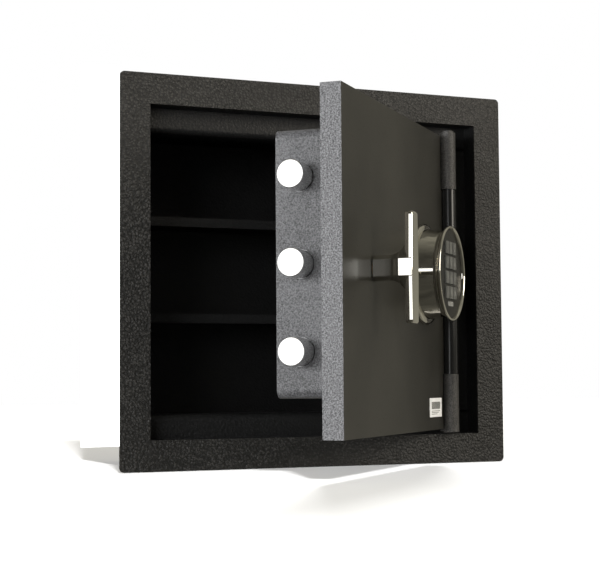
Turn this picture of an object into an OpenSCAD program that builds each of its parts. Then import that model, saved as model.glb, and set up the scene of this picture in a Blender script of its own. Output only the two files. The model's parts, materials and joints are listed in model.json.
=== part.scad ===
// Flush wall safe: framed body with two shelves, swing door, three round bolts, T-handle and keypad lock.
// Origin: centre of the flange's back face, in the wall plane.
// +X points right, +Y into the wall and +Z up. Sizes are in millimetres.
// The door is drawn shut and then turned about the hinge pins to its rest angle.

/* [Body] */
// width of the front flange over its outer edges
flange_w = 415.4; // [400:0.1:440]
// height of the front flange over its outer edges
flange_h = 382.2; // [365:0.1:410]
// thickness of the front flange plate
flange_t = 3.2; // [2.5:0.1:4]
// radius of the flange's outer corners
flange_r = 4.5; // [2:0.5:10]
// clear width of the body, wall to wall
open_w = 355.6; // [352:0.1:362]
// clear height of the body, floor to ceiling
open_h = 322.4; // [320:0.1:330]
// thickness of the body's sheet
sheet = 3.2; // [2:0.1:4]
// depth of the body from the wall plane to the outside of its back
body_d = 230; // [200:1:300]
// depth of the rebate in the flange's back that locates the body's front edges
flange_rebate = 1; // [0.5:0.1:1.5]

/* [Door stop] */
// distance of the stop's face behind the wall plane
stop_y = 19; // [18.5:0.1:20]
// width of the top and bottom stops
stop_w_tb = 24; // [18:0.5:26]
// width of the hinge-side stop
stop_w_hinge = 42; // [40:0.5:44]
// width of the latch-side stop's front leg
stop_w_latch = 6.6; // [5:0.1:6.8]
// depth of the latch-side stop, front to back
stop_d_latch = 21.5; // [20:0.5:22]
// reach of the latch-side stop's inner lip past its front leg
stop_lip = 6; // [3:0.5:6.5]
// thickness of the stop's sheet
stop_t = 3; // [2:0.1:3.2]
// depth of the stop from its face to the end of its return
stop_d = 23; // [14:0.5:25]
// outside radius of the stop's bend
stop_r = 6; // [4:0.5:8]

/* [Shelves] */
// distance of the shelves' front edges behind the wall plane
shelf_y = 100; // [95:1:120]
// height of the upper shelf's top face
shelf_z_up = 64.3; // [50:0.1:80]
// height of the lower shelf's top face
shelf_z_lo = -35.6; // [-60:0.1:-20]
// thickness of the shelf sheet
shelf_t = 1.6; // [1:0.1:2]
// height of the shelf's turned-down front edge
shelf_edge = 9.5; // [6:0.5:14]

/* [Hinge] */
// hinge axis, to the right of the centre
hinge_x = 143.4; // [142.5:0.1:144.5]
// hinge axis, in front of the wall plane
hinge_out = 8; // [7.8:0.1:8.4]
// outside radius of the fixed hinge barrels
barrel_r = 8; // [7.5:0.1:8.2]
// length of each fixed hinge barrel
barrel_h = 59; // [50:1:59]
// height of the upper barrel's lower end
barrel_up = 91.5; // [85:0.5:92]
// height of the lower barrel's lower end
barrel_lo = -159; // [-160:0.5:-155]
// radius of the hinge pins
hinge_pin_r = 4; // [3:0.1:4.5]
// radius of the round bar along the door's hinge edge
rod_r = 7.5; // [6.5:0.1:7.7]
// radial running clearance of every turning or sliding pair
run = 0.05; // [0.02:0.01:0.08]
// angle the door stands open at rest
rest_open = 46; // [0:1:100]

/* [Door] */
// thickness of the door plate
door_t = 19.05; // [16:0.05:19.05]
// gap between the door's latch edge and the opening
gap_latch = 2.35; // [2:0.05:4]
// gap above the door
gap_top = 14.4; // [5:0.1:15]
// gap below the door
gap_bot = 5.3; // [4:0.1:10]
// distance of the door's face behind the flange's face
recess = 1; // [0.5:0.1:3]

/* [Boltwork] */
// latch-side face of the boltwork box, measured from the door's latch edge
box_inset = 51; // [50:0.1:52]
// width of the boltwork box
box_w = 245.5; // [235:0.5:250]
// height of the boltwork box
box_h = 239.5; // [230:0.5:250]
// depth of the boltwork box behind the door plate, with its cover
box_d = 61.2; // [60:0.1:64]
// corner radius of the boltwork box
box_r = 8; // [4:1:12]
// radius of the locking bolts
bolt_r = 12.7; // [11:0.1:13]
// height between neighbouring bolts
bolt_pitch = 77.6; // [70:0.1:80]
// height of the middle bolt
bolt_z = -3; // [-6:0.1:0]
// depth of the bolts' axes behind the wall plane
bolt_y = 55; // [54.5:0.1:56]
// length of bolt standing out of the box with the bolts drawn back
bolt_out = 24.4; // [20:0.1:24.5]
// travel of the bolts for a quarter turn of the handle
throw = 24; // [20:1:24]

/* [Handle] */
// handle axis, measured from the door's latch edge
handle_in = 87; // [86:0.1:88]
// height of the handle's axis
handle_z = -6.5; // [-10:0.1:0]
// overall length of the T-bar
tbar_l = 99; // [80:1:110]
// width of the T-bar at its middle
tbar_w = 26; // [22:0.5:28]
// width of the T-bar at its ends
tbar_end_w = 18; // [14:0.5:20]
// thickness of the T-bar
tbar_t = 8; // [7:0.5:12]
// distance of the T-bar's front from the door's face
handle_out = 38; // [34:0.5:45]
// radius of the spindle
spindle_r = 5; // [4:0.1:5.5]

/* [Keypad] */
// keypad axis, to the right of the centre with the door shut
pad_x = 68; // [66:0.5:69]
// height of the keypad's axis
pad_z = -1.5; // [-4:0.5:2]
// radius of the keypad's base ring
pad_base_r = 50; // [48:0.5:51]
// thickness of the keypad's base ring
pad_base_t = 5; // [4:0.5:5.5]
// sideways distance between neighbouring keys
key_px = 13; // [13:0.1:13.5]
// upright distance between neighbouring keys
key_pz = 14.7; // [14.5:0.1:15]
// width of a key cap
key_w = 10.8; // [9:0.1:11]
// height of a key cap
key_h = 12; // [10:0.1:12.2]
// height a key stands out of the panel
key_proud = 1.4; // [1.3:0.1:2]

/* [Fixing holes] */
// radius of the stud holes in the side walls
side_hole_r = 4.5; // [3:0.1:6]
// depth of the stud holes behind the wall plane
side_hole_y = 62; // [55:1:80]
// height between the two stud holes of a wall
side_hole_pitch = 210; // [205:5:230]
// radius of the anchor holes in the back
back_hole_r = 5.5; // [4:0.1:7]
// sideways distance between the anchor holes
back_pitch_x = 260; // [200:5:300]
// upright distance between the anchor holes
back_pitch_z = 220; // [200:5:230]

/* [Hidden] */
$fn = 96;
eps = 0.01;
hinge_y = -hinge_out;
half_w = open_w / 2;
half_h = open_h / 2;
wall_out = half_w + sheet + 1;
inner_d = body_d - sheet;
// door, drawn shut
face_y = -flange_t + recess;
back_y = face_y + door_t;
latch_x = -half_w + gap_latch;
door_top = half_h - gap_top;
door_bot = -half_h + gap_bot;
plate_edge = hinge_x + 5;
notch_edge = hinge_x - barrel_r - 1;
rod_gap = 0.5;
rod_top = barrel_up - rod_gap;
rod_bot = barrel_lo + barrel_h + rod_gap;
bracket_t = 6;
pin_in_rod = 25;
// boltwork box
box_t = 3;
box_x0 = latch_x + box_inset;
box_cx = box_x0 + box_w / 2;
box_cz = bolt_z + 1.1;
cover_t = 3;
box_back = back_y + box_d;
cover_y = box_back - cover_t;
tab_t = 4.5;
tab_r = 2;
tab_up = box_cz + box_h / 2 - 10;
tab_lo = box_cz - box_h / 2 + 10;
tab_xz = [[box_x0 + 10, box_cz, 0], [box_x0 + box_w - 10, box_cz, 0], [box_cx - 80, tab_up, 1],
  [box_cx + 80, tab_up, 1], [box_cx - 80, tab_lo, 1], [box_cx + 80, tab_lo, 1]];
// bolts and bar
guide_t = 6;
guide_x1 = box_x0 + box_t + guide_t;
web_t = 6;
web_x0 = guide_x1 + throw + 2;
bar_y = back_y + 20.3;
bar_t = 4;
bar_half = bolt_pitch + 17;
tip_x = box_x0 - bolt_out;
bolt_l = web_x0 - tip_x;
bolt_screw_r = 4;
// handle, spindle and cam
handle_x = latch_x + handle_in;
cam_r0 = 40;
cam_y = back_y + 11.3;
cam_t = 5;
pin_r = 4;
slot_r = pin_r + 0.3;
cam_steps = 30;
flange_x1 = handle_x + cam_r0 + 8;
spindle_end = bar_y - 1.5;
// sealed lock
lock_w = 64;
lock_h = 78;
lock_d = 28;
lock_top = pad_z + 34;
lock_mid = lock_top - lock_h / 2;
lock_bolt_w = 10;
lock_bolt_y = back_y + 15.3;
lock_travel = 8;
bar_strip_z = lock_top + 6;
bar_strip_h = 14;
notch_w = lock_bolt_w + 1;
notch_h = 8.5;
// blank label on the door's face
label_x = 84;
label_z = -143;
label_w = 43;
label_h = 19;
label_t = 0.3;
// keypad, distances measured outwards from the door's face
ring_r = 46.9;
neck_r = 42;
seat_r = 38.6;
panel_r = 43.5;
panel_h0 = 24.5;
panel_h1 = 27;
rim_h = 30;
board_h0 = 16;
board_t = 1.6;
board_r = 36;
key_zc = 3;
key_flange_h0 = 22.9;
key_flange_h1 = 24.3;
key_stem_h0 = 19;
window_w = 18;
window_h = 4.5;
window_z = -30;

// turns the shut door to its rest angle
module hung() {
  translate([hinge_x, hinge_y, 0])
    rotate([0, 0, rest_open])
      translate([-hinge_x, -hinge_y, 0])
        children();
}

// raises a flat outline drawn in X and Z into a plate from y0 to y0 + t
module plate(y0, t) {
  translate([0, y0 + t, 0])
    rotate([90, 0, 0])
      linear_extrude(t)
        children();
}

// round bar along Y from y0 to y1
module bar_along_y(x, z, r, y0, y1) {
  translate([x, y0, z])
    rotate([-90, 0, 0])
      cylinder(r = r, h = y1 - y0);
}

// round bar along X from x0 to x1
module bar_along_x(y, z, r, x0, x1) {
  translate([x0, y, z])
    rotate([0, 90, 0])
      cylinder(r = r, h = x1 - x0);
}

// block between two corners
module block(a, b) {
  translate(a)
    cube(b - a);
}

// rectangle with round corners, centred
module round_rect(w, h, r) {
  square([w - 2 * r, h], center = true);
  square([w, h - 2 * r], center = true);
  for (sx = [-1, 1])
    for (sz = [-1, 1])
      translate([sx * (w / 2 - r), sz * (h / 2 - r)])
        circle(r = r);
}

// ---- body ----
module front_flange() {
  color([0.13, 0.12, 0.11])
    difference() {
      plate(-flange_t, flange_t)
        difference() {
          round_rect(flange_w, flange_h, flange_r);
          square([open_w, open_h], center = true);
        }
      plate(-flange_rebate, flange_rebate + 1)
        square([open_w + 2 * sheet, open_h + 2 * sheet], center = true);
    }
}

module body_shell() {
  color([0.1, 0.1, 0.1])
    difference() {
      plate(-flange_rebate, inner_d + flange_rebate)
        difference() {
          square([open_w + 2 * sheet, open_h + 2 * sheet], center = true);
          square([open_w, open_h], center = true);
        }
      for (s = [-1, 1])
        bar_along_x(side_hole_y, s * side_hole_pitch / 2, side_hole_r, -wall_out, wall_out);
    }
}

module back_panel() {
  color([0.1, 0.1, 0.1])
    plate(inner_d, sheet)
      difference() {
        square([open_w + 2 * sheet, open_h + 2 * sheet], center = true);
        for (x = [-1, 1])
          for (z = [-1, 1])
            translate([x * back_pitch_x / 2, z * back_pitch_z / 2])
              circle(r = back_hole_r);
      }
}

// bent stop strip seen end on: X runs in from the wall, Y runs back from the face
module stop_section(w) {
  square([w - stop_r, stop_t]);
  translate([w - stop_t, stop_r])
    square([stop_t, stop_d - stop_r]);
  intersection() {
    translate([w - stop_r, stop_r])
      difference() {
        circle(r = stop_r);
        circle(r = stop_r - stop_t);
      }
    translate([w - stop_r, 0])
      square([stop_r, stop_r]);
  }
}

module stop_top() {
  color([0.11, 0.11, 0.1])
    translate([-half_w, stop_y, half_h])
      rotate([0, 90, 0])
        linear_extrude(open_w)
          stop_section(stop_w_tb);
}

module stop_bottom() {
  mirror([0, 0, 1])
    stop_top();
}

// folded strip the door closes against on the latch side; the bolts lock behind its inner lip
module stop_latch() {
  side_l = open_h - 2 * stop_w_tb;
  color([0.11, 0.11, 0.1])
    translate([-half_w, stop_y, -side_l / 2])
      linear_extrude(side_l) {
        square([stop_w_latch, stop_t]);
        translate([stop_w_latch - stop_t, stop_t])
          square([stop_t, stop_d_latch - stop_t]);
        translate([stop_w_latch, stop_d_latch - stop_t])
          square([stop_lip, stop_t]);
      }
}

module stop_hinge() {
  side_l = open_h - 2 * stop_w_tb;
  color([0.11, 0.11, 0.1])
    mirror([1, 0, 0])
      translate([-half_w, stop_y, -side_l / 2])
        linear_extrude(side_l)
          stop_section(stop_w_hinge);
}

module shelf(z) {
  w = half_w - 1;
  color([0.09, 0.09, 0.09]) {
    block([-w, shelf_y, z - shelf_t], [w, inner_d - 1, z]);
    block([-w, shelf_y, z - shelf_edge], [w, shelf_y + shelf_t, z - shelf_t]);
    block([-w, shelf_y + shelf_t, z - shelf_edge], [w, shelf_y + 8, z - shelf_edge + shelf_t]);
  }
}

module shelf_upper() {
  shelf(shelf_z_up);
}

module shelf_lower() {
  shelf(shelf_z_lo);
}

// angle strips the shelves rest on
module ledges_left() {
  color([0.09, 0.09, 0.09])
    for (z = [shelf_z_up, shelf_z_lo]) {
      block([-half_w, shelf_y + 12, z - shelf_t - 16], [-half_w + 1.6, inner_d - 8, z - shelf_t]);
      block([-half_w + 1.6, shelf_y + 12, z - shelf_t - 1.6], [-half_w + 16, inner_d - 8, z - shelf_t]);
    }
}

module ledges_right() {
  mirror([1, 0, 0])
    ledges_left();
}

// fixed hinge half: barrel and the bracket that joins it to the stop
module hinge_half(z0) {
  color([0.13, 0.13, 0.13])
    difference() {
      union() {
        translate([hinge_x, hinge_y, z0])
          cylinder(r = barrel_r, h = barrel_h);
        block([hinge_x + barrel_r - bracket_t, hinge_y, z0],
          [hinge_x + barrel_r, stop_y, z0 + barrel_h]);
      }
      translate([hinge_x, hinge_y, z0 - 1])
        cylinder(r = hinge_pin_r, h = barrel_h + 2);
    }
}

module hinge_upper() {
  hinge_half(barrel_up);
}

module hinge_lower() {
  hinge_half(barrel_lo);
}

module hinge_pin_upper() {
  color([0.3, 0.3, 0.3]) {
    translate([hinge_x, hinge_y, rod_top - pin_in_rod])
      cylinder(r = hinge_pin_r, h = pin_in_rod + rod_gap + barrel_h);
    translate([hinge_x, hinge_y, barrel_up + barrel_h])
      cylinder(r = hinge_pin_r + 2, h = 2);
  }
}

module hinge_pin_lower() {
  color([0.3, 0.3, 0.3])
    translate([hinge_x, hinge_y, barrel_lo + 1])
      cylinder(r = hinge_pin_r, h = barrel_h - 1 + rod_gap + pin_in_rod);
}

// ---- door ----
module door_plate() {
  color([0.29, 0.28, 0.24])
    hung()
      difference() {
        union() {
          block([latch_x, face_y, door_bot], [notch_edge, back_y, door_top]);
          block([notch_edge - eps, face_y, rod_bot], [plate_edge, back_y, rod_top]);
        }
        translate([hinge_x, hinge_y, rod_bot - 1])
          cylinder(r = rod_r, h = rod_top - rod_bot + 2);
        bar_along_y(handle_x, handle_z, spindle_r + 3, face_y - 1, back_y + 1);
        bar_along_y(pad_x, pad_z, 6, face_y - 1, back_y + 1);
        for (s = [-1, 1])
          bar_along_y(pad_x, pad_z + s * 25, 2.5, face_y - 1, face_y + 12);
        for (sx = [-1, 1])
          for (sz = [-1, 1])
            bar_along_y(pad_x + sx * 26, lock_mid + sz * 33, 3, back_y - 8, back_y + 1);
      }
}

module hinge_rod() {
  color([0.05, 0.05, 0.05])
    hung()
      difference() {
        translate([hinge_x, hinge_y, rod_bot])
          cylinder(r = rod_r, h = rod_top - rod_bot);
        translate([hinge_x, hinge_y, rod_top - pin_in_rod - 1])
          cylinder(r = hinge_pin_r + run, h = pin_in_rod + 2);
        translate([hinge_x, hinge_y, rod_bot - 1])
          cylinder(r = hinge_pin_r + run, h = pin_in_rod + 2);
      }
}

module boltwork_box() {
  color([0.33, 0.33, 0.33])
    hung() {
      difference() {
        translate([box_cx, 0, box_cz])
          plate(back_y, cover_y - back_y)
            difference() {
              round_rect(box_w, box_h, box_r);
              round_rect(box_w - 2 * box_t, box_h - 2 * box_t, box_r - box_t);
            }
        for (k = [-1, 0, 1])
          bar_along_x(bolt_y, bolt_z + k * bolt_pitch, bolt_r + 0.5, box_x0 - 1, box_x0 + box_t + 1);
      }
      for (p = tab_xz)
        cover_tab(p);
    }
}

// inside tab that takes one cover screw: p holds its place and whether it hangs from a long wall
module cover_tab(p) {
  dx = p[0] < box_cx ? -1 : 1;
  dz = p[1] < box_cz ? -1 : 1;
  reach = 10 - box_t;
  difference() {
    if (p[2] == 0)
      block([min(p[0] + dx * reach, p[0] - dx * 5), cover_y - tab_t, p[1] - 6],
        [max(p[0] + dx * reach, p[0] - dx * 5), cover_y, p[1] + 6]);
    else
      block([p[0] - 6, cover_y - tab_t, min(p[1] + dz * reach, p[1] - dz * 5)],
        [p[0] + 6, cover_y, max(p[1] + dz * reach, p[1] - dz * 5)]);
    bar_along_y(p[0], p[1], tab_r, cover_y - tab_t - 1, cover_y + 1);
  }
}

module box_cover() {
  color([0.2, 0.2, 0.2])
    hung()
      difference() {
        translate([box_cx, 0, box_cz])
          plate(cover_y, cover_t)
            round_rect(box_w, box_h, box_r);
        for (p = tab_xz)
          bar_along_y(p[0], p[1], tab_r, cover_y - 1, box_back + 1);
      }
}

// low round-headed screws: a domed head on a plain shank
module cover_screws() {
  color([0.8, 0.8, 0.8])
    hung()
      for (p = tab_xz) {
        bar_along_y(p[0], p[1], tab_r, cover_y - tab_t, box_back);
        translate([p[0], box_back, p[1]])
          rotate([-90, 0, 0])
            rotate_extrude()
              intersection() {
                translate([0, -4.25])
                  circle(r = 6.75);
                square([5, 2.5]);
              }
      }
}

module bolt_guide() {
  color([0.45, 0.45, 0.46])
    hung()
      difference() {
        block([box_x0 + box_t, bolt_y - 18, bolt_z - bolt_pitch - 24],
          [guide_x1, cover_y - tab_t - 0.5, bolt_z + bolt_pitch + 24]);
        for (k = [-1, 0, 1])
          bar_along_x(bolt_y, bolt_z + k * bolt_pitch, bolt_r + run + 0.03, box_x0, guide_x1 + 1);
      }
}

module lock_body() {
  color([0.6, 0.6, 0.58])
    hung()
      difference() {
        block([pad_x - lock_w / 2, back_y, lock_top - lock_h],
          [pad_x + lock_w / 2, back_y + lock_d, lock_top]);
        block([pad_x - lock_bolt_w / 2 - run, lock_bolt_y - run, lock_top - 30],
          [pad_x + lock_bolt_w / 2 + run, lock_bolt_y + lock_bolt_w + run, lock_top + 1]);
        for (sx = [-1, 1])
          for (sz = [-1, 1])
            bar_along_y(pad_x + sx * 26, lock_mid + sz * 33, 3, back_y - 1, back_y + lock_d + 1);
      }
}

module lock_screws() {
  color([0.5, 0.5, 0.5])
    hung()
      for (sx = [-1, 1])
        for (sz = [-1, 1]) {
          x = pad_x + sx * 26;
          z = lock_mid + sz * 33;
          bar_along_y(x, z, 3, back_y - 8, back_y + lock_d);
          bar_along_y(x, z, 5, back_y + lock_d, back_y + lock_d + 3);
        }
}

module spindle_bush() {
  color([0.7, 0.55, 0.3])
    hung()
      difference() {
        bar_along_y(handle_x, handle_z, spindle_r + 3, face_y, back_y);
        bar_along_y(handle_x, handle_z, spindle_r + run, face_y - 1, back_y + 1);
      }
}

module blank_label() {
  color([0.9, 0.9, 0.9])
    hung()
      block([label_x, face_y - label_t, label_z], [label_x + label_w, face_y, label_z + label_h]);
}

// ---- keypad ----
// puts a shape drawn with +Z outwards on the keypad's axis at the door's face
module on_pad() {
  hung()
    translate([pad_x, face_y, pad_z])
      rotate([90, 0, 0])
        children();
}

module keypad_base() {
  color([0.75, 0.75, 0.73])
    on_pad()
      difference() {
        union() {
          rotate_extrude()
            polygon([[8, 0], [pad_base_r, 0], [pad_base_r, 2.5], [pad_base_r - 1, pad_base_t - 1],
              [pad_base_r - 3, pad_base_t], [8, pad_base_t]]);
          for (a = [30, 150, 270])
            rotate([0, 0, a])
              translate([33, 0, pad_base_t])
                cylinder(r = 2.5, h = board_h0 - pad_base_t);
        }
        for (s = [-1, 1])
          translate([0, s * 25, -1])
            cylinder(r = 2.5, h = pad_base_t + 2);
      }
}

module keypad_housing() {
  color([0.78, 0.77, 0.73])
    on_pad()
      rotate_extrude()
        polygon([[seat_r, pad_base_t], [neck_r + 2.4, pad_base_t], [neck_r + 1.2, 6.5], [neck_r + 0.4, 8.8],
          [neck_r, 12], [neck_r, 16], [neck_r + 0.3, 19], [neck_r + 0.9, 21.6], [neck_r + 1.9, 24],
          [neck_r + 3.3, 26], [ring_r - 0.5, 27.4], [ring_r, 28.4], [ring_r - 0.1, 29.2],
          [ring_r - 0.7, 29.8], [ring_r - 1.4, rim_h], [ring_r - 2.1, 29.7], [ring_r - 2.7, 28.8],
          [panel_r, panel_h1], [panel_r, panel_h0], [seat_r, panel_h0]]);
}

module keypad_panel() {
  color([0.12, 0.12, 0.12])
    on_pad()
      translate([0, 0, panel_h0])
        linear_extrude(panel_h1 - panel_h0)
          difference() {
            circle(r = panel_r);
            for (c = [-1, 0, 1])
              for (r = [-1.5, -0.5, 0.5, 1.5])
                translate([c * key_px, key_zc + r * key_pz])
                  square([key_w + 0.5, key_h + 0.5], center = true);
            translate([0, window_z])
              square([window_w, window_h], center = true);
          }
}

module keypad_window() {
  color([0.55, 0.55, 0.52])
    on_pad()
      translate([-window_w / 2, window_z - window_h / 2, panel_h0])
        cube([window_w, window_h, panel_h1 - panel_h0 + 0.3]);
}

module keypad_board() {
  color([0.1, 0.3, 0.15])
    on_pad()
      translate([0, 0, board_h0])
        cylinder(r = board_r, h = board_t);
}

module keypad_screws() {
  color([0.5, 0.5, 0.5])
    on_pad()
      for (s = [-1, 1])
        translate([0, s * 25, -12]) {
          cylinder(r = 2.5, h = 12 + pad_base_t);
          translate([0, 0, 12 + pad_base_t])
            cylinder(r = 4.5, h = 2.5);
        }
}

module keypad_cable() {
  color([0.1, 0.1, 0.1])
    on_pad()
      translate([0, 0, -door_t])
        cylinder(r = 2.5, h = door_t + board_h0);
}

// one key: cap, retaining flange and plunger; c and r count columns and rows from the pad's middle
module pad_key(c, r) {
  color([0.45, 0.45, 0.44])
    on_pad()
      translate([c * key_px, key_zc + r * key_pz, 0]) {
        translate([-key_w / 2, -key_h / 2, key_flange_h1])
          cube([key_w, key_h, panel_h1 + key_proud - key_flange_h1]);
        translate([-key_w / 2 - 0.7, -key_h / 2 - 0.7, key_flange_h0])
          cube([key_w + 1.4, key_h + 1.4, key_flange_h1 - key_flange_h0]);
        translate([0, 0, key_stem_h0])
          cylinder(r = 2, h = key_flange_h0 - key_stem_h0);
      }
}

module key_1() {
  pad_key(-1, 1.5);
}

module key_2() {
  pad_key(0, 1.5);
}

module key_3() {
  pad_key(1, 1.5);
}

module key_4() {
  pad_key(-1, 0.5);
}

module key_5() {
  pad_key(0, 0.5);
}

module key_6() {
  pad_key(1, 0.5);
}

module key_7() {
  pad_key(-1, -0.5);
}

module key_8() {
  pad_key(0, -0.5);
}

module key_9() {
  pad_key(1, -0.5);
}

module key_star() {
  pad_key(-1, -1.5);
}

module key_0() {
  pad_key(0, -1.5);
}

module key_hash() {
  pad_key(1, -1.5);
}

// ---- handle ----
// puts a shape drawn with +Z outwards on the handle's axis at the door's face
module on_handle() {
  hung()
    translate([handle_x, face_y, handle_z])
      rotate([90, 0, 0])
        children();
}

// outline of the T-bar from the front: broad in the middle, narrower towards its ends
module tbar_front() {
  e = tbar_end_w / 2;
  l = tbar_l / 2;
  m = tbar_w / 2;
  right = [for (z = [-l + 2 : 4 : l - 2]) [e + (m - e) * pow(cos(90 * z / l), 2), z]];
  top = [[e - 2, l], [2 - e, l]];
  left = [for (i = [len(right) - 1 : -1 : 0]) [-right[i][0], right[i][1]]];
  polygon(concat(right, top, left, [[2 - e, -l], [e - 2, -l]]));
}

// section of the T-bar, with bevelled front edges and sides that slope in towards the back
module tbar_section() {
  half = tbar_w / 2 + 0.5;
  front = handle_out;
  back = handle_out - tbar_t;
  polygon([[2.6 - half, back], [half - 2.6, back], [half, front - 1.6], [half - 1.6, front],
    [1.6 - half, front], [-half, front - 1.6]]);
}

module t_handle() {
  color([0.8, 0.8, 0.77])
    on_handle()
      difference() {
        union() {
          intersection() {
            translate([0, 0, handle_out - tbar_t])
              linear_extrude(tbar_t)
                tbar_front();
            translate([0, tbar_l / 2, 0])
              rotate([90, 0, 0])
                linear_extrude(tbar_l)
                  tbar_section();
          }
          translate([0, 0, 0.6])
            linear_extrude(handle_out - tbar_t + 2)
              handle_stem_outline();
          stem_flare();
        }
        translate([0, 0, -1])
          cylinder(r = spindle_r, h = handle_out - 10);
      }
}

// eight-sided stem outline
module handle_stem_outline() {
  polygon([[-7.5, -7], [-3.5, -11.5], [3.5, -11.5], [7.5, -7],
    [7.5, 7], [3.5, 11.5], [-3.5, 11.5], [-7.5, 7]]);
}

// swelling where the stem meets the T-bar
module stem_flare() {
  intersection() {
    translate([7.5, 0, 0])
      rotate([0, -90, 0])
        linear_extrude(15)
          polygon([[handle_out - 18, -11.5], [handle_out - 12, -14], [handle_out - 6, -21],
            [handle_out - 6, 21], [handle_out - 12, 14], [handle_out - 18, 11.5]]);
    translate([0, 30, 0])
      rotate([90, 0, 0])
        linear_extrude(60)
          polygon([[-7.5, handle_out - 18], [7.5, handle_out - 18],
            [6.5, handle_out - 6], [-6.5, handle_out - 6]]);
  }
}

module spindle() {
  color([0.6, 0.6, 0.6])
    hung()
      bar_along_y(handle_x, handle_z, spindle_r, face_y - handle_out + 11, spindle_end);
}

// radius of the cam's slot at a turn of a degrees: it falls evenly over the quarter turn
function slot_at(a) = cam_r0 - throw * a / 90;

// point at radius r and angle a
function polar(r, a) = [r * cos(a), r * sin(a)];

// how far the slot's radius falls per radian
slot_fall = throw / 90 * 180 / PI;

// point at distance d outside the slot's middle line, measured square to the line
function beside_slot(a, d) =
  let (r = slot_at(a), n = sqrt(r * r + slot_fall * slot_fall))
  polar(r, a) + d / n * [r * cos(a) - slot_fall * sin(a), r * sin(a) + slot_fall * cos(a)];

module cam_slot() {
  outer = [for (i = [0 : cam_steps]) beside_slot(90 * i / cam_steps, slot_r)];
  inner = [for (i = [cam_steps : -1 : 0]) beside_slot(90 * i / cam_steps, -slot_r)];
  polygon(concat(outer, inner));
  for (a = [0, 90])
    translate(polar(slot_at(a), a))
      circle(r = slot_r + 0.05);
}

module cam_outline() {
  rim = [for (i = [cam_steps : -1 : 0])
    let (a = 104 * i / cam_steps - 2)
    polar(slot_at(a) + 10, a)];
  difference() {
    union() {
      circle(r = 9);
      polygon(concat([[0, -8], [0, 0], [-7, 0]], rim, [[cam_r0 + 2, -8]]));
    }
    cam_slot();
  }
}

module cam_plate() {
  color([0.5, 0.5, 0.5])
    hung()
      difference() {
        translate([handle_x, 0, handle_z]) {
          plate(cam_y, cam_t)
            cam_outline();
          bar_along_y(0, 0, 9, back_y + 0.5, cam_y + eps);
        }
        bar_along_y(handle_x, handle_z, spindle_r, back_y, cam_y + cam_t + 1);
      }
}

module cam_clip() {
  color([0.4, 0.4, 0.4])
    hung()
      difference() {
        bar_along_y(handle_x, handle_z, spindle_r + 3, cam_y + cam_t, cam_y + cam_t + 1.5);
        bar_along_y(handle_x, handle_z, spindle_r, cam_y + cam_t - 1, cam_y + cam_t + 3);
      }
}

// ---- bolts ----
module bolt_bar() {
  color([0.55, 0.55, 0.56])
    hung()
      difference() {
        union() {
          block([web_x0, bar_y, bolt_z - bar_half],
            [web_x0 + web_t, cover_y - tab_t - 1, bolt_z + bar_half]);
          block([web_x0 + web_t - eps, bar_y, bolt_z - bar_half],
            [flange_x1, bar_y + bar_t, bolt_z + bar_half]);
          block([flange_x1 - eps, bar_y, bar_strip_z],
            [pad_x + throw + 12, bar_y + bar_t, bar_strip_z + bar_strip_h]);
        }
        for (k = [-1, 0, 1])
          bar_along_x(bolt_y, bolt_z + k * bolt_pitch, bolt_screw_r, web_x0 - 1, web_x0 + web_t + 1);
        bar_along_y(handle_x + cam_r0, handle_z, pin_r, bar_y - 1, bar_y + bar_t + 1);
        for (k = [0, 1])
          block([pad_x + k * throw - notch_w / 2, bar_y - 1, bar_strip_z - 1],
            [pad_x + k * throw + notch_w / 2, bar_y + bar_t + 1, bar_strip_z + notch_h]);
      }
}

// round bolt with a small lead chamfer and a tapped tail
module round_bolt(k) {
  color([0.85, 0.85, 0.85])
    hung()
      translate([tip_x, bolt_y, bolt_z + k * bolt_pitch])
        rotate([0, 90, 0])
          rotate_extrude()
            polygon([[0, 0], [bolt_r - 0.6, 0], [bolt_r, 0.6], [bolt_r, bolt_l],
              [bolt_screw_r, bolt_l], [bolt_screw_r, bolt_l - 16], [0, bolt_l - 16]]);
}

module bolt_upper() {
  round_bolt(1);
}

module bolt_middle() {
  round_bolt(0);
}

module bolt_lower() {
  round_bolt(-1);
}

module bolt_screws() {
  color([0.4, 0.4, 0.4])
    hung()
      for (k = [-1, 0, 1]) {
        bar_along_x(bolt_y, bolt_z + k * bolt_pitch, bolt_screw_r, web_x0 - 15, web_x0 + web_t);
        bar_along_x(bolt_y, bolt_z + k * bolt_pitch, 6.5, web_x0 + web_t, web_x0 + web_t + 5);
      }
}

module follower_pin() {
  color([0.4, 0.4, 0.4])
    hung()
      bar_along_y(handle_x + cam_r0, handle_z, pin_r, cam_y - 1, bar_y + bar_t);
}

module lock_bolt() {
  color([0.75, 0.65, 0.4])
    hung()
      block([pad_x - lock_bolt_w / 2, lock_bolt_y, lock_top - 22],
        [pad_x + lock_bolt_w / 2, lock_bolt_y + lock_bolt_w, lock_top + 3]);
}

// ---- draw one node or all of them ----
front_flange();
body_shell();
back_panel();
stop_top();
stop_bottom();
stop_latch();
stop_hinge();
shelf_upper();
shelf_lower();
ledges_left();
ledges_right();
hinge_upper();
hinge_lower();
hinge_pin_upper();
hinge_pin_lower();
door_plate();
hinge_rod();
boltwork_box();
box_cover();
cover_screws();
bolt_guide();
lock_body();
lock_screws();
spindle_bush();
keypad_base();
keypad_housing();
keypad_panel();
keypad_window();
keypad_board();
keypad_screws();
keypad_cable();
blank_label();
t_handle();
spindle();
cam_plate();
cam_clip();
bolt_bar();
bolt_upper();
bolt_middle();
bolt_lower();
bolt_screws();
follower_pin();
lock_bolt();
key_1();
key_2();
key_3();
key_4();
key_5();
key_6();
key_7();
key_8();
key_9();
key_star();
key_0();
key_hash();
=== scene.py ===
import json
import math
import bmesh
import bpy
from mathutils import Matrix, Vector


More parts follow.
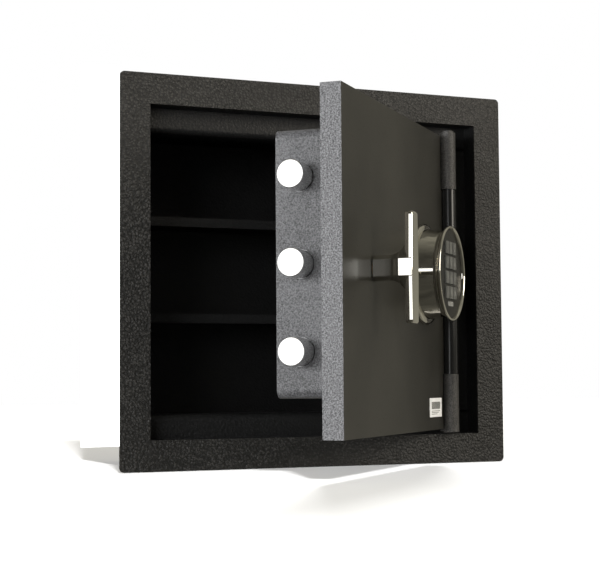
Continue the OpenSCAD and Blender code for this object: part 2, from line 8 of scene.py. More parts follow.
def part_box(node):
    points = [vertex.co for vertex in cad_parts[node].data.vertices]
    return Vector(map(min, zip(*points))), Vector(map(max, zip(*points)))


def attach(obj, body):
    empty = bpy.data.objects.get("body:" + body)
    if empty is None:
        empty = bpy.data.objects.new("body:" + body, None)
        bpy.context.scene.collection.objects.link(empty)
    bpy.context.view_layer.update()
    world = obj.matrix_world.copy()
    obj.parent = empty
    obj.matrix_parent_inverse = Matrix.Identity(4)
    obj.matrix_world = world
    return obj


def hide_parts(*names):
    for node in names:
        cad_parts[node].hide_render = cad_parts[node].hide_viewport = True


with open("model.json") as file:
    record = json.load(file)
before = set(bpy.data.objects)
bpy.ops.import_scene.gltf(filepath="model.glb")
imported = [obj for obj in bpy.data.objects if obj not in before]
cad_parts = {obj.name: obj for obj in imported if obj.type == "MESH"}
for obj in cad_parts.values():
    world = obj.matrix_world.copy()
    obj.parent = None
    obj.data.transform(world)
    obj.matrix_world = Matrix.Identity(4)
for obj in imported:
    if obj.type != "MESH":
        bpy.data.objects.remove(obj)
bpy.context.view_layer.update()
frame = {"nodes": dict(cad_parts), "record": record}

NODES = frame["nodes"]
JOINTS = {joint["name"]: joint for joint in frame["record"]["behaviour"]["joints"]}
MM = 0.001

# ---------------------------------------------------------------- frame of the door
# The door stands open at rest. Its directions come from the joints that move along them.
RIGHTWARD = -Vector(JOINTS["bolt_throw"]["axis"]).normalized()
OUTWARD = -Vector(JOINTS["key_5_press"]["axis"]).normalized()
UP = Vector((0, 0, 1))


def matrix_of(axes, origin):
    """Matrix with three directions as its columns and its origin at a point."""
    matrix = Matrix.Identity(4)
    for column, axis in enumerate(axes):
        for row in range(3):
            matrix[row][column] = axis[row]
    matrix.translation = origin
    return matrix


def door_matrix(origin):
    """Local +X runs along the door towards the hinge, +Y up, +Z out of the door's face."""
    return matrix_of((RIGHTWARD, UP, OUTWARD), origin)


def span(name, direction):
    """Least and greatest distance of a node's points along a direction, in metres."""
    values = [vertex.co.dot(direction) for vertex in NODES[name].data.vertices]
    return min(values), max(values)


def mid(name, direction):
    low, high = span(name, direction)
    return (low + high) / 2


def width_mm(name, direction):
    low, high = span(name, direction)
    return (high - low) / MM


FACE = span("door_plate", OUTWARD)[1]


def above_face_mm(name):
    """Lowest and highest point of a node above the door's outer face, in millimetres."""
    low, high = span(name, OUTWARD)
    return (low - FACE) / MM, (high - FACE) / MM


def on_face(name, height=0.0):
    """Point on the door's outer face, in line with the middle of a node."""
    base = RIGHTWARD * mid(name, RIGHTWARD) + UP * mid(name, UP)
    return base + OUTWARD * (FACE + height)


# ---------------------------------------------------------------- node helpers
def new_material(name):
    material = bpy.data.materials.new(name)
    material.use_nodes = True
    tree = material.node_tree
    tree.nodes.clear()
    output = tree.nodes.new("ShaderNodeOutputMaterial")
    shader = tree.nodes.new("ShaderNodeBsdfPrincipled")
    tree.links.new(shader.outputs[0], output.inputs[0])
    return material, tree, shader


def coords(tree):
    return tree.nodes.new("ShaderNodeTexCoord").outputs["Object"]


def noise(tree, place, scale, detail, rough, distort=0.0):
    node = tree.nodes.new("ShaderNodeTexNoise")
    node.inputs["Scale"].default_value = scale
    node.inputs["Detail"].default_value = detail
    node.inputs["Roughness"].default_value = rough
    node.inputs["Distortion"].default_value = distort
    tree.links.new(place, node.inputs["Vector"])
    return node.outputs["Fac"]


def soft_cells(tree, place, scale, smoothness):
    node = tree.nodes.new("ShaderNodeTexVoronoi")
    node.feature = "SMOOTH_F1"
    node.inputs["Scale"].default_value = scale
    node.inputs["Smoothness"].default_value = smoothness
    tree.links.new(place, node.inputs["Vector"])
    return node.outputs["Distance"]


def ramp(tree, factor, first, last):
    """Colour that runs between two stops, each a position and a colour."""
    node = tree.nodes.new("ShaderNodeValToRGB")
    for element, (position, colour) in zip(node.color_ramp.elements, (first, last)):
        element.position = position
        element.color = (*colour, 1)
    tree.links.new(factor, node.inputs["Fac"])
    return node.outputs["Color"]


def spread(tree, factor, low, high, from_low=0.0, from_high=1.0):
    """Value from low to high as the factor goes from from_low to from_high."""
    node = tree.nodes.new("ShaderNodeMapRange")
    node.inputs["From Min"].default_value = from_low
    node.inputs["From Max"].default_value = from_high
    node.inputs["To Min"].default_value = low
    node.inputs["To Max"].default_value = high
    tree.links.new(factor, node.inputs["Value"])
    return node.outputs["Result"]


def math_node(tree, operation, *values):
    node = tree.nodes.new("ShaderNodeMath")
    node.operation = operation
    for socket, value in zip(node.inputs, values):
        if isinstance(value, (int, float)):
            socket.default_value = value
        else:
            tree.links.new(value, socket)
    return node.outputs[0]


def blend_of(tree, first, first_share, second, second_share):
    """Sum of two values, each times its share."""
    first = math_node(tree, "MULTIPLY", first, first_share)
    second = math_node(tree, "MULTIPLY", second, second_share)
    return math_node(tree, "ADD", first, second)


def direction_value(tree, vector, direction):
    """How far a vector points in a direction: its dot product with it."""
    node = tree.nodes.new("ShaderNodeVectorMath")
    node.operation = "DOT_PRODUCT"
    node.inputs[1].default_value = direction
    tree.links.new(vector, node.inputs[0])
    return node.outputs["Value"]


def bump(tree, height, strength, distance, under=None):
    node = tree.nodes.new("ShaderNodeBump")
    node.inputs["Strength"].default_value = strength
    node.inputs["Distance"].default_value = distance
    tree.links.new(height, node.inputs["Height"])
    if under is not None:
        tree.links.new(under, node.inputs["Normal"])
    return node.outputs["Normal"]


def mix_shader(tree, factor, first, second):
    node = tree.nodes.new("ShaderNodeMixShader")
    tree.links.new(factor, node.inputs[0])
    tree.links.new(first.outputs[0], node.inputs[1])
    tree.links.new(second.outputs[0], node.inputs[2])
    return node


# ---------------------------------------------------------------- materials
# The middle part of a noise's values, over which roughness runs from smooth to rough.
NOISE_LOW = 0.3
NOISE_HIGH = 0.7


def textured_paint(name, dark, light, cell, depth, rough):
    """Powder coat with a leather-like grain: soft islands, cell millimetres across."""
    material, tree, shader = new_material(name)
    place = coords(tree)
    cells_per_m = 1 / (cell * MM)
    grain = soft_cells(tree, place, cells_per_m, 0.35)
    fine = noise(tree, place, cells_per_m * 1.7, detail=3, rough=0.6, distort=0.4)
    mottle = noise(tree, place, 260, detail=2, rough=0.5)
    broad = noise(tree, place, 14, detail=3, rough=0.5)
    height = blend_of(tree, grain, -0.8, fine, 0.7)
    shade = blend_of(tree, height, 0.9, broad, 0.35)
    shade = blend_of(tree, shade, 1.0, mottle, 0.08)
    tree.links.new(ramp(tree, shade, (0.14, dark), (0.46, light)), shader.inputs["Base Color"])
    tree.links.new(spread(tree, fine, *rough, NOISE_LOW, NOISE_HIGH), shader.inputs["Roughness"])
    tree.links.new(bump(tree, height, 0.9, depth * MM), shader.inputs["Normal"])
    return material


def door_paint(name):
    """Charcoal powder coat: coarse speckle on the plate's edges, smoother on its outer face. The edges carry
    painted light and the outer face painted shade, chosen by which way the surface faces.
    """
    material, tree, shader = new_material(name)
    place = coords(tree)
    normal = tree.nodes.new("ShaderNodeTexCoord").outputs["Normal"]
    front = spread(tree, direction_value(tree, normal, OUTWARD), 0.0, 1.0, 0.6, 0.95)
    fine = noise(tree, place, 1150, detail=3, rough=0.6, distort=0.4)
    broad = noise(tree, place, 9, detail=4, rough=0.55)
    speck = noise(tree, place, 760, detail=2, rough=0.65)
    # Lit and shaded copies of one paint: the edges get a much lighter colour as painted light, and the outer
    # face a darker, warmer one as painted shade.
    lit_edge_dark, lit_edge_light = (0.022, 0.022, 0.0235), (0.153, 0.1535, 0.161)
    shaded_face_dark, shaded_face_light = (0.011, 0.0105, 0.0085), (0.034, 0.032, 0.026)
    painted_lit_edge_tone = ramp(tree, speck, (0.36, lit_edge_dark), (0.64, lit_edge_light))
    face_shade = blend_of(tree, fine, 0.55, broad, 0.45)
    painted_shade_face_tone = ramp(tree, face_shade, (0.34, shaded_face_dark), (0.64, shaded_face_light))
    # The way the surface faces picks between them: painted shade on the outer face, painted light on the
    # edges.
    mix = tree.nodes.new("ShaderNodeMix")
    mix.data_type = "RGBA"
    tree.links.new(front, mix.inputs["Factor"])
    tree.links.new(painted_lit_edge_tone, mix.inputs[6])
    tree.links.new(painted_shade_face_tone, mix.inputs[7])
    tree.links.new(mix.outputs[2], shader.inputs["Base Color"])
    smooth = spread(tree, fine, 0.27, 0.38, NOISE_LOW, NOISE_HIGH)
    edge_rough = math_node(tree, "MULTIPLY", math_node(tree, "SUBTRACT", 1.0, front), 0.2)
    tree.links.new(math_node(tree, "ADD", smooth, edge_rough), shader.inputs["Roughness"])
    relief = math_node(tree, "MULTIPLY", speck, spread(tree, front, 1.0, 0.05))
    tree.links.new(bump(tree, relief, 0.9, 0.35 * MM), shader.inputs["Normal"])
    return material


def speckled_paint(name, dark, light, scale, depth, rough):
    """Powder coat with a close, even speckle."""
    material, tree, shader = new_material(name)
    place = coords(tree)
    fine = noise(tree, place, scale, detail=2, rough=0.65)
    broad = noise(tree, place, 12, detail=3, rough=0.5)
    shade = blend_of(tree, fine, 0.85, broad, 0.15)
    tree.links.new(ramp(tree, shade, (0.37, dark), (0.63, light)), shader.inputs["Base Color"])
    tree.links.new(spread(tree, fine, *rough, NOISE_LOW, NOISE_HIGH), shader.inputs["Roughness"])
    tree.links.new(bump(tree, fine, 0.9, depth * MM), shader.inputs["Normal"])
    return material


def satin_paint(name, dark, light, rough, depth):
    """Fine satin coat with a little mottle and dust-size speckle."""
    material, tree, shader = new_material(name)
    place = coords(tree)
    fine = noise(tree, place, 900, detail=4, rough=0.65)
    peel = noise(tree, place, 330, detail=2, rough=0.5)
    broad = noise(tree, place, 11, detail=4, rough=0.55)
    shade = blend_of(tree, fine, 0.6, broad, 0.4)
    tree.links.new(ramp(tree, shade, (0.3, dark), (0.7, light)), shader.inputs["Base Color"])
    tree.links.new(spread(tree, broad, *rough, NOISE_LOW, NOISE_HIGH), shader.inputs["Roughness"])
    low = bump(tree, peel, 0.5, depth * MM)
    tree.links.new(bump(tree, fine, 0.6, depth * 0.6 * MM, low), shader.inputs["Normal"])
    return material


def polished(name, tint, rough):
    """Polished plate: mirror-like, with faint haze and a very slight waviness from buffing."""
    material, tree, shader = new_material(name)
    place = coords(tree)
    haze = noise(tree, place, 45, detail=4, rough=0.6)
    buff = noise(tree, place, 1400, detail=2, rough=0.5)
    slow = noise(tree, place, 70, detail=1, rough=0.4)
    dull = tuple(channel * 0.93 for channel in tint)
    tree.links.new(ramp(tree, haze, (0.3, dull), (0.7, tint)), shader.inputs["Base Color"])
    tree.links.new(spread(tree, haze, *rough, 0.35, 0.7), shader.inputs["Roughness"])
    low = bump(tree, slow, 0.25, 0.16 * MM)
    tree.links.new(bump(tree, buff, 0.12, 0.004 * MM, low), shader.inputs["Normal"])
    shader.inputs["Metallic"].default_value = 1.0
    return material


def plain_steel(name, tint, rough=(0.3, 0.5)):
    """Machined metal with a fine grain and light oil stains."""
    material, tree, shader = new_material(name)
    place = coords(tree)
    stain = noise(tree, place, 60, detail=4, rough=0.6)
    line = noise(tree, place, 2200, detail=2, rough=0.5)
    stained = tuple(channel * 0.7 for channel in tint)
    tree.links.new(ramp(tree, stain, (0.3, stained), (0.7, tint)), shader.inputs["Base Color"])
    tree.links.new(spread(tree, stain, *rough, NOISE_LOW, NOISE_HIGH), shader.inputs["Roughness"])
    tree.links.new(bump(tree, line, 0.4, 0.004 * MM), shader.inputs["Normal"])
    shader.inputs["Metallic"].default_value = 1.0
    return material


def moulded(name, dark, light, rough=(0.35, 0.5), specular=0.5):
    """Moulded plastic with a fine spark texture."""
    material, tree, shader = new_material(name)
    place = coords(tree)
    fine = noise(tree, place, 3000, detail=2, rough=0.5)
    broad = noise(tree, place, 70, detail=3, rough=0.5)
    tree.links.new(ramp(tree, broad, (0.35, dark), (0.65, light)), shader.inputs["Base Color"])
    tree.links.new(spread(tree, fine, *rough, NOISE_LOW, NOISE_HIGH), shader.inputs["Roughness"])
    tree.links.new(bump(tree, fine, 0.5, 0.01 * MM), shader.inputs["Normal"])
    shader.inputs["Specular IOR Level"].default_value = specular
    return material


def paper(name, dark, light):
    material, tree, shader = new_material(name)
    place = coords(tree)
    fibre = noise(tree, place, 1200, detail=4, rough=0.7)
    broad = noise(tree, place, 40, detail=2, rough=0.5)
    tree.links.new(ramp(tree, broad, (0.3, dark), (0.7, light)), shader.inputs["Base Color"])
    tree.links.new(spread(tree, fibre, 0.55, 0.75, NOISE_LOW, NOISE_HIGH), shader.inputs["Roughness"])
    tree.links.new(bump(tree, fibre, 0.4, 0.01 * MM), shader.inputs["Normal"])
    return material


MATERIALS = {
    "charcoal_texture": textured_paint(
        "flange_paint", (0.009, 0.0085, 0.0075), (0.035, 0.033, 0.0295),
        cell=2.5, depth=1.0, rough=(0.3, 0.5)),
    "black_texture": textured_paint(
        "body_paint", (0.002, 0.002, 0.002), (0.0058, 0.0058, 0.0056),
        cell=2.6, depth=0.4, rough=(0.42, 0.6)),
    "hinge_paint": speckled_paint(
        "hinge_paint", (0.008, 0.0075, 0.007), (0.07, 0.066, 0.06),
        scale=800, depth=0.4, rough=(0.4, 0.55)),
    "grey_texture": speckled_paint(
        "box_paint", (0.016, 0.016, 0.017), (0.107, 0.1075, 0.113),
        scale=700, depth=0.5, rough=(0.36, 0.52)),
    "door_paint": door_paint("door_paint"),
    "black_gloss": satin_paint(
        "black_gloss", (0.006, 0.006, 0.006), (0.012, 0.012, 0.012), rough=(0.12, 0.2), depth=0.008),
    "chrome": polished("bolt_chrome", (0.86, 0.86, 0.85), rough=(0.05, 0.12)),
    "handle_chrome": polished("handle_chrome", (0.84, 0.82, 0.75), rough=(0.04, 0.09)),
    "steel": plain_steel("steel", (0.55, 0.55, 0.56)),
    "zinc_case": plain_steel("zinc_case", (0.5, 0.5, 0.49), rough=(0.45, 0.6)),
    "bronze": plain_steel("bronze", (0.6, 0.42, 0.2)),
    "black_plastic": moulded(
        "panel_plastic", (0.006, 0.006, 0.0055), (0.013, 0.013, 0.012), rough=(0.25, 0.4), specular=0.28),
    "key_plastic": moulded(
        "key_plastic", (0.075, 0.075, 0.07), (0.11, 0.11, 0.1), rough=(0.3, 0.45), specular=0.35),
    "smoke_plastic": moulded("window_plastic", (0.2, 0.2, 0.185), (0.3, 0.29, 0.27), rough=(0.2, 0.3)),
    "circuit_board": moulded("board", (0.01, 0.06, 0.02), (0.02, 0.1, 0.04)),
    "cable_rubber": moulded(
        "cable_rubber", (0.012, 0.012, 0.012), (0.022, 0.022, 0.022), rough=(0.5, 0.65)),
    "label_white": paper("label_paper", (0.74, 0.73, 0.7), (0.83, 0.82, 0.8)),
}

for part in frame["record"]["subparts"]:
    mesh = NODES[part["node"]].data
    mesh.materials.clear()
    mesh.materials.append(MATERIALS[part["material_slot"]])

# ---------------------------------------------------------------- rounded edges of the CAD pieces
KEYS = [name for name in NODES if name.startswith("key_")]
EDGE_MM = {
    "front_flange": 0.8, "door_plate": 0.9, "boltwork_box": 0.6, "box_cover": 1.2, "shelf_upper": 0.4,
    "shelf_lower": 0.4, "stop_latch": 0.5, "hinge_upper": 0.6, "hinge_lower": 0.6, "hinge_rod": 0.4,
    "bolt_upper": 0.3, "bolt_middle": 0.3, "bolt_lower": 0.3,
}
EDGE_MM.update({name: 0.7 for name in KEYS})
SHARPEST_KEPT = math.radians(40)

for name, width in EDGE_MM.items():
    o = NODES[name]
    edge = o.modifiers.new("edge", "BEVEL")
    edge.width = width * MM
    edge.segments = 3
    edge.limit_method = "ANGLE"
    edge.angle_limit = SHARPEST_KEPT
    edge.harden_normals = False
    o.data.shade_smooth()
    shade = o.modifiers.new("shade", "WEIGHTED_NORMAL")
    shade.keep_sharp = False


# ---------------------------------------------------------------- finer pieces
def add_piece(name, verts, faces, body, slot, origin, sharp=None):
    """Adds a mesh drawn in the door's own directions, in millimetres, at a point in the frame."""
    mesh = bpy.data.meshes.new(name)
    mesh.from_pydata([tuple(c * MM for c in v) for v in verts], [], faces)
    mesh.materials.append(MATERIALS[slot])
    bm = bmesh.new()
    bm.from_mesh(mesh)
    bmesh.ops.remove_doubles(bm, verts=bm.verts, dist=1e-7)
    bmesh.ops.recalc_face_normals(bm, faces=bm.faces)
    bm.to_mesh(mesh)
    bm.free()
    if sharp is not None:
        mesh.shade_smooth()
        mesh.set_sharp_from_angle(angle=math.radians(sharp))
    o = bpy.data.objects.new(name, mesh)
    bpy.context.collection.objects.link(o)
    o.matrix_world = door_matrix(origin)
    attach(o, body)
    return o


def curve_through(points, steps):
    """Smooth line through a few points (Catmull-Rom)."""
    line = []
    last = len(points) - 1
    for i in range(last):
        before, start, end, after = points[max(i - 1, 0)], points[i], points[i + 1], points[min(i + 2, last)]
        for k in range(steps):
            u = k / steps
            line.append(tuple(0.5 * (2 * b + (c - a) * u + (2 * a - 5 * b + 4 * c - d) * u * u
                                     + (3 * b - a - 3 * c + d) * u ** 3)
                              for a, b, c, d in zip(before, start, end, after)))
    line.append(tuple(points[last]))
    return line


def lathe(profile):
    """Turns a closed loop of (radius, height) points about +Z."""
    segments = 192
    verts, faces = [], []
    for radius, height in profile:
        for i in range(segments):
            angle = 2 * math.pi * i / segments
            verts.append((radius * math.cos(angle), radius * math.sin(angle), height))
    for j in range(len(profile)):
        row = j * segments
        next_row = (j + 1) % len(profile) * segments
        for i in range(segments):
            n = (i + 1) % segments
            faces.append((row + i, row + n, next_row + n, next_row + i))
    return verts, faces


def loft(rings):
    """Skin through rings with equally many points, with a face over each end."""
    count = len(rings[0])
    verts = [point for ring in rings for point in ring]
    faces = []
    for row in range(0, len(verts) - count, count):
        for k in range(count):
            n = (k + 1) % count
            faces.append((row + k, row + n, row + count + n, row + count + k))
    faces.append(tuple(range(count)))
    faces.append(tuple(range(len(verts) - count, len(verts))))
    return verts, faces


# Keypad housing and base ring, turned smooth. Heights are above the door's face.
SMOOTH_ANGLE = 50
ring = width_mm("keypad_housing", UP) / 2
well = width_mm("keypad_panel", UP) / 2
foot, rim = above_face_mm("keypad_housing")
sill = above_face_mm("keypad_panel")[0]
waist = ring - 4.9
bore = waist - 3.4
outside = curve_through([(waist + 2.6, foot), (waist + 1.7, foot + 5), (waist + 0.9, foot + 10),
                         (waist + 0.3, foot + 15), (waist + 0.2, foot + 17.4), (waist + 1.1, foot + 19.6),
                         (waist + 3.1, foot + 21.6), (ring - 0.5, rim - 2.6)], 5)
lip = curve_through([(ring - 0.5, rim - 2.6), (ring - 0.02, rim - 1.6), (ring - 0.3, rim - 0.6),
                     (ring - 1.4, rim), (ring - 2.3, rim - 0.5), (well + 0.35, rim - 1.6),
                     (well + 0.05, rim - 3.0)], 5)
inside = [(well + 0.05, sill), (bore, sill), (bore, foot)]
verts, faces = lathe(outside + lip[1:] + inside)
pad = on_face("keypad_housing")
housing = add_piece("keypad_housing_turned", verts, faces, "door", "handle_chrome", pad, SMOOTH_ANGLE)
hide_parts("keypad_housing")

wide = width_mm("keypad_base", UP) / 2
base_bore = 8
corner = curve_through([(wide, 2.3), (wide - 0.25, 3.4), (wide - 0.9, 4.2), (wide - 1.9, 4.75),
                        (wide - 3.2, foot)], 4)
profile = [(base_bore, 0), (wide - 0.3, 0), (wide, 0.3)] + corner + [(base_bore, foot)]
verts, faces = lathe(profile)
base_at = on_face("keypad_base")
base = add_piece("keypad_base_turned", verts, faces, "door", "handle_chrome", base_at, SMOOTH_ANGLE)
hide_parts("keypad_base")

# T-handle: a stem with flat sides that opens in smooth curves into a bevelled bar
grip_top = above_face_mm("t_handle")[1]
grip_len = width_mm("t_handle", UP) / 2
grip_back = grip_top - 8.0
BAR_STATIONS = 96
ROUND_SHARE = 0.045
DROP_SHARE = 0.03


def bar_half(y):
    """Half width of the bar's front at a distance y from its middle: it narrows towards the ends."""
    u = min(abs(y) / grip_len, 1.0)
    into_end = max(0.0, (u - (1 - ROUND_SHARE)) / ROUND_SHARE)
    round_end = math.sqrt(max(0.0, 1.0 - into_end ** 2))
    return (9.0 + 1.3 * math.cos(math.pi / 2 * u) ** 2) * (0.78 + 0.22 * round_end)


def bar_section(y):
    """Ring of points round the bar at y: sloping back, upright sides and bevelled front."""
    w = bar_half(y)
    end = max(0.0, abs(y) / grip_len - (1 - DROP_SHARE)) / DROP_SHARE
    front = grip_top - 0.8 * end
    back = grip_back + 0.4 * end
    half = [(w - 4.6, back), (w - 2.9, back + 0.5), (w - 0.15, front - 3.5), (w, front - 3.2),
            (w - 0.3, front - 0.5), (w - 0.8, front - 0.1), (w * 0.5, front)]
    return [(-x, y, z) for x, z in half] + [(x, y, z) for x, z in reversed(half)]


def stem_section(half_width, half_height, corner_cut, height):
    """Eight-sided ring of points round the stem at a height above the door's face."""
    a, b, c = half_width, half_height, corner_cut
    flat = a - min(c * 0.9, a - 3.6)
    return [(-a, -b + c, height), (-flat, -b, height), (flat, -b, height), (a, -b + c, height),
            (a, b - c, height), (flat, b, height), (-flat, b, height), (-a, b - c, height)]


stations = [-grip_len + 2 * grip_len * i / BAR_STATIONS for i in range(BAR_STATIONS + 1)]
verts, faces = loft([bar_section(y) for y in stations])
# half width, half height, corner cut and height of the stem, from the door outwards
stem = curve_through([(7.3, 11.4, 3.9, 0.6), (7.4, 11.3, 3.8, 8), (7.6, 11.3, 3.8, 14), (8.3, 11.7, 4.2, 19),
                      (10.5, 13.6, 6.1, 23.6), (10.75, 16.6, 9.1, 26.6), (10.6, 20.2, 12.7, grip_back + 0.5),
                      (10.45, 18.5, 11.0, grip_top - 0.7)], 6)
stem_verts, stem_faces = loft([stem_section(*section) for section in stem])
faces += [tuple(len(verts) + k for k in face) for face in stem_faces]
verts += stem_verts
hub = on_face("t_handle")
grip = add_piece("t_handle_cast", verts, faces, "handle", "handle_chrome", hub, 24)
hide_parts("t_handle")

# Legends on the keys: the digit or sign in the node's name
LEGENDS = {"key_star": "*", "key_hash": "#"}
for name in KEYS:
    text = bpy.data.curves.new(name + "_legend", "FONT")
    text.body = LEGENDS.get(name, name.removeprefix("key_"))
    text.size = 7.6 * MM
    text.align_x = "CENTER"
    text.align_y = "CENTER"
    text.extrude = 0.05 * MM
    o = bpy.data.objects.new(name + "_legend", text)
    bpy.context.collection.objects.link(o)
    bpy.context.view_layer.update()
    deps = bpy.context.evaluated_depsgraph_get()
    mesh = bpy.data.meshes.new_from_object(o.evaluated_get(deps))
    bpy.data.objects.remove(o)
    mesh.materials.clear()
    mesh.materials.append(MATERIALS["smoke_plastic"])
    legend = bpy.data.objects.new(name + "_legend", mesh)
    bpy.context.collection.objects.link(legend)
    top = span(name, OUTWARD)[1] - FACE
    legend.matrix_world = door_matrix(on_face(name, top + 0.03 * MM))
    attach(legend, name + "_button")

# Plain printed block and three bars on the label
INK = 0.04
tag_w = width_mm("blank_label", RIGHTWARD)
tag_h = width_mm("blank_label", UP)
verts, faces = [], []


def printed(x0, y0, x1, y1):
    q = len(verts)
    outline = [(x0, y0), (x1, y0), (x1, y1), (x0, y1)]
    verts.extend([(x, y, z) for z in (0, INK) for x, y in outline])
    faces.extend([(q, q + 3, q + 2, q + 1), (q + 4, q + 5, q + 6, q + 7), (q, q + 1, q + 5, q + 4),
                  (q + 1, q + 2, q + 6, q + 5), (q + 2, q + 3, q + 7, q + 6), (q + 3, q, q + 4, q + 7)])


left = -tag_w * 0.36
printed(left, -tag_h * 0.08, -left, tag_h * 0.3)
for i in range(3):
    down = 0.08 * i
    printed(left, -tag_h * (0.2 + down), tag_w * (0.36 - 0.12 * i), -tag_h * (0.165 + down))
tag_top = span("blank_label", OUTWARD)[1] - FACE
add_piece("label_print", verts, faces, "door", "smoke_plastic", on_face("blank_label", tag_top + 0.01 * MM))

# ---------------------------------------------------------------- room, light and camera
CAMERA_AT = Vector((-0.6066, -1.3705, -0.1074))
LAMP_TARGET = (-0.08, -0.12, 0.0)


def soft_white(name, albedo, glow):
    """Matt white for the things of the stage, with an even glow of its own (0 for none)."""
    material, tree, shader = new_material(name)
    cloud = noise(tree, coords(tree), 2, detail=2, rough=0.55)
    tone = ramp(tree, cloud, (0.3, (albedo,) * 3), (0.7, (albedo + 0.01,) * 3))
    tree.links.new(tone, shader.inputs["Base Color"])
    shader.inputs["Roughness"].default_value = 0.9
    shader.inputs["Specular IOR Level"].default_value = 0.1
    shader.inputs["Emission Color"].default_value = (1, 1, 1, 1)
    shader.inputs["Emission Strength"].default_value = glow
    return material, tree, shader


def stage_sheet(name, corners):
    """Flat sheet with four corners."""
    o = bpy.data.objects.new(name, bpy.data.meshes.new(name))
    o.data.from_pydata(corners, [], [(0, 1, 2, 3)])
    bpy.context.collection.objects.link(o)
    return o


def hide_from(o, *kinds):
    for kind in kinds:
        setattr(o, "visible_" + kind, False)


def aim(o, direction):
    """Turns an object so that its -Z points in a direction."""
    o.rotation_euler = direction.to_track_quat("-Z", "Y").to_euler()


floor_z = span("front_flange", UP)[0] - 0.5 * MM
bpy.ops.mesh.primitive_plane_add(size=9.0, location=(0, 0, floor_z))
floor = bpy.context.object
floor.name = "studio_floor"
floor.data.materials.append(soft_white("studio_floor", 0.86, 0.0)[0])
hide_from(floor, "glossy")

# A small white flag near the camera stands in for the wall, which would hide the body beside the
# flange. Only the camera sees it, it casts no shadow, and it is clear from behind.
FLAG_NEARNESS = 0.2
flange_low, flange_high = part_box("front_flange")
body_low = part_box("body_shell")[0]
flag_left, flag_right = flange_low[0] - 37 * MM, flange_low[0] + 0.3 * MM
flag_low, flag_high = body_low[2] - 2 * MM, flange_high[2] + 4 * MM
corners = [(flag_left, 0, flag_low), (flag_right, 0, flag_low),
           (flag_right, 0, flag_high), (flag_left, 0, flag_high)]
corners = [tuple(CAMERA_AT + (Vector(c) - CAMERA_AT) * FLAG_NEARNESS) for c in corners]
wall = stage_sheet("studio_flag", corners)
flag_material, flag_tree, flag_white = soft_white("studio_flag", 0.86, 1.1)
clear = flag_tree.nodes.new("ShaderNodeBsdfTransparent")
from_behind = flag_tree.nodes.new("ShaderNodeNewGeometry").outputs["Backfacing"]
one_sided = mix_shader(flag_tree, from_behind, flag_white, clear)
flag_tree.links.new(one_sided.outputs[0], flag_tree.nodes["Material Output"].inputs[0])
wall.data.materials.append(flag_material)
hide_from(wall, "diffuse", "glossy", "shadow", "transmission")

# The camera sees a white world. Reflections show a dim warm room that is lighter on one side, and
# all other rays meet an even warm fill.
world = bpy.data.worlds.new("studio")
bpy.context.scene.world = world
world.use_nodes = True
room = world.node_tree
room.nodes.clear()


def background(colour, strength):
    node = room.nodes.new("ShaderNodeBackground")
    node.inputs[0].default_value = (*colour, 1)
    node.inputs[1].default_value = strength
    return node


seen = background((1, 1, 1), 1.0)
fill = background((1.0, 0.93, 0.72), 0.24)
mirrored = background((1.0, 0.95, 0.78), 1.0)
outward = room.nodes.new("ShaderNodeTexCoord").outputs["Generated"]
streaks = spread(room, noise(room, outward, 3.2, detail=3, rough=0.6, distort=0.6), 0.75, 1.2, 0.35, 0.65)
lighter_side = spread(room, direction_value(room, outward, (0.86, 0.4, 0.3)), 0.2, 1.12, -0.35, 0.75)
glow = math_node(room, "MULTIPLY", math_node(room, "MULTIPLY", lighter_side, streaks), 0.25)
room.links.new(glow, mirrored.inputs[1])
ray = room.nodes.new("ShaderNodeLightPath")
unseen = mix_shader(room, ray.outputs["Is Glossy Ray"], fill, mirrored)
whole = mix_shader(room, ray.outputs["Is Camera Ray"], unseen, seen)
room.links.new(whole.outputs[0], room.nodes.new("ShaderNodeOutputWorld").inputs[0])


def area(name, place, target, size, power, colour=(1, 1, 1), size_y=None):
    lamp = bpy.data.lights.new(name, "AREA")
    lamp.shape = "RECTANGLE"
    lamp.size = size
    lamp.size_y = size_y or size
    lamp.energy = power
    lamp.color = colour
    o = bpy.data.objects.new(name, lamp)
    bpy.context.collection.objects.link(o)
    o.location = place
    aim(o, Vector(target) - Vector(place))
    return o


def group_of(name, *members):
    group = bpy.data.collections.new(name)
    for member in members:
        group.objects.link(member)
    return group


def leave_out(lamps, group):
    """Keeps the light of these lamps off every member of a group."""
    for lamp in lamps:
        lamp.light_linking.receiver_collection = group
    for member in group.collection_objects:
        member.light_linking.link_state = "EXCLUDE"


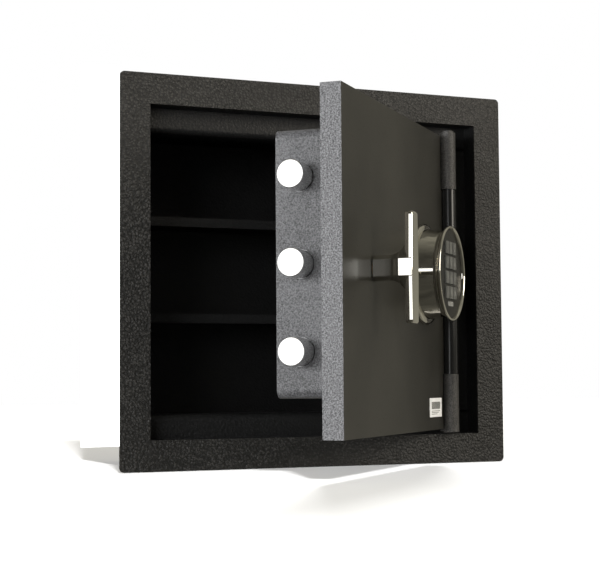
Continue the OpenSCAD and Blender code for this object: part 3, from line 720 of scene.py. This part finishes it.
key_left = area("key_left", (-1.76, -1.0, 0.14), LAMP_TARGET, size=2.3, size_y=0.52, power=52,
                colour=(0.97, 0.98, 1.0))
top_light = area("top", (-0.1, -0.5, 1.5), (0, 0.1, 0), size=1.5, power=20)
right_light = area("front_right", (1.1, -1.3, 0.5), (0, -0.1, 0), size=0.8, power=11,
                   colour=(1, 0.93, 0.82))
hide_from(top_light, "glossy")
bolts = (NODES["bolt_upper"], NODES["bolt_middle"], NODES["bolt_lower"])
leave_out((top_light, right_light), group_of("floor_left_out", floor))
leave_out((key_left,), group_of("floor_and_polished_left_out", floor, *bolts, housing, base, grip))

# A softly lit card beside the lamp on the left, seen in reflections only. The polished pieces, which
# that lamp doesn't light, show it in the lamp's place.
CARD_HALF_X = 1.15
CARD_HALF_Y = 0.25
card = stage_sheet("studio_card", [(-CARD_HALF_X, -CARD_HALF_Y, 0), (CARD_HALF_X, -CARD_HALF_Y, 0),
                                   (CARD_HALF_X, CARD_HALF_Y, 0), (-CARD_HALF_X, CARD_HALF_Y, 0)])
card.location = (-1.7, -0.97, 0.14)
aim(card, Vector(LAMP_TARGET) - card.location)
card.data.materials.append(soft_white("studio_card", 0.1, 1.6)[0])
hide_from(card, "camera", "diffuse", "shadow", "transmission")


def floor_sun(name, direction, strength, soft, casts=None):
    """Sun for the floor alone. Everything casts its shadow, or only the members of a group."""
    sun = bpy.data.lights.new(name, "SUN")
    sun.energy = strength
    sun.angle = math.radians(soft)
    o = bpy.data.objects.new(name, sun)
    bpy.context.collection.objects.link(o)
    aim(o, Vector(direction))
    o.light_linking.receiver_collection = floor_only
    if casts is not None:
        o.light_linking.blocker_collection = casts


# The floor has its own two suns, so that it reads white and still takes the safe's shadows.
floor_only = group_of("floor_only", floor)
door_casts = group_of("door_casts", NODES["door_plate"])
floor_sun("floor_front", (0.197, 0.843, -0.5), strength=4.4, soft=5)
floor_sun("floor_back", (-0.33, -0.62, -0.72), strength=2.0, soft=10, casts=door_casts)

scene = bpy.context.scene
scene.view_settings.view_transform = "Standard"
lens = bpy.data.cameras.new("photo_view")
lens.sensor_width = 36.0
lens.lens = 89.9
lens.shift_x = -0.0033
lens.clip_end = 50
camera = bpy.data.objects.new("photo_view", lens)
bpy.context.collection.objects.link(camera)
look = Vector((0.39309, 0.91737, 0.06257)).normalized()
side = Vector((0.91932, -0.39344, -0.00714))
side = (side - look * side.dot(look)).normalized()
camera.matrix_world = matrix_of((side, side.cross(look), -look), CAMERA_AT)
scene.camera = camera
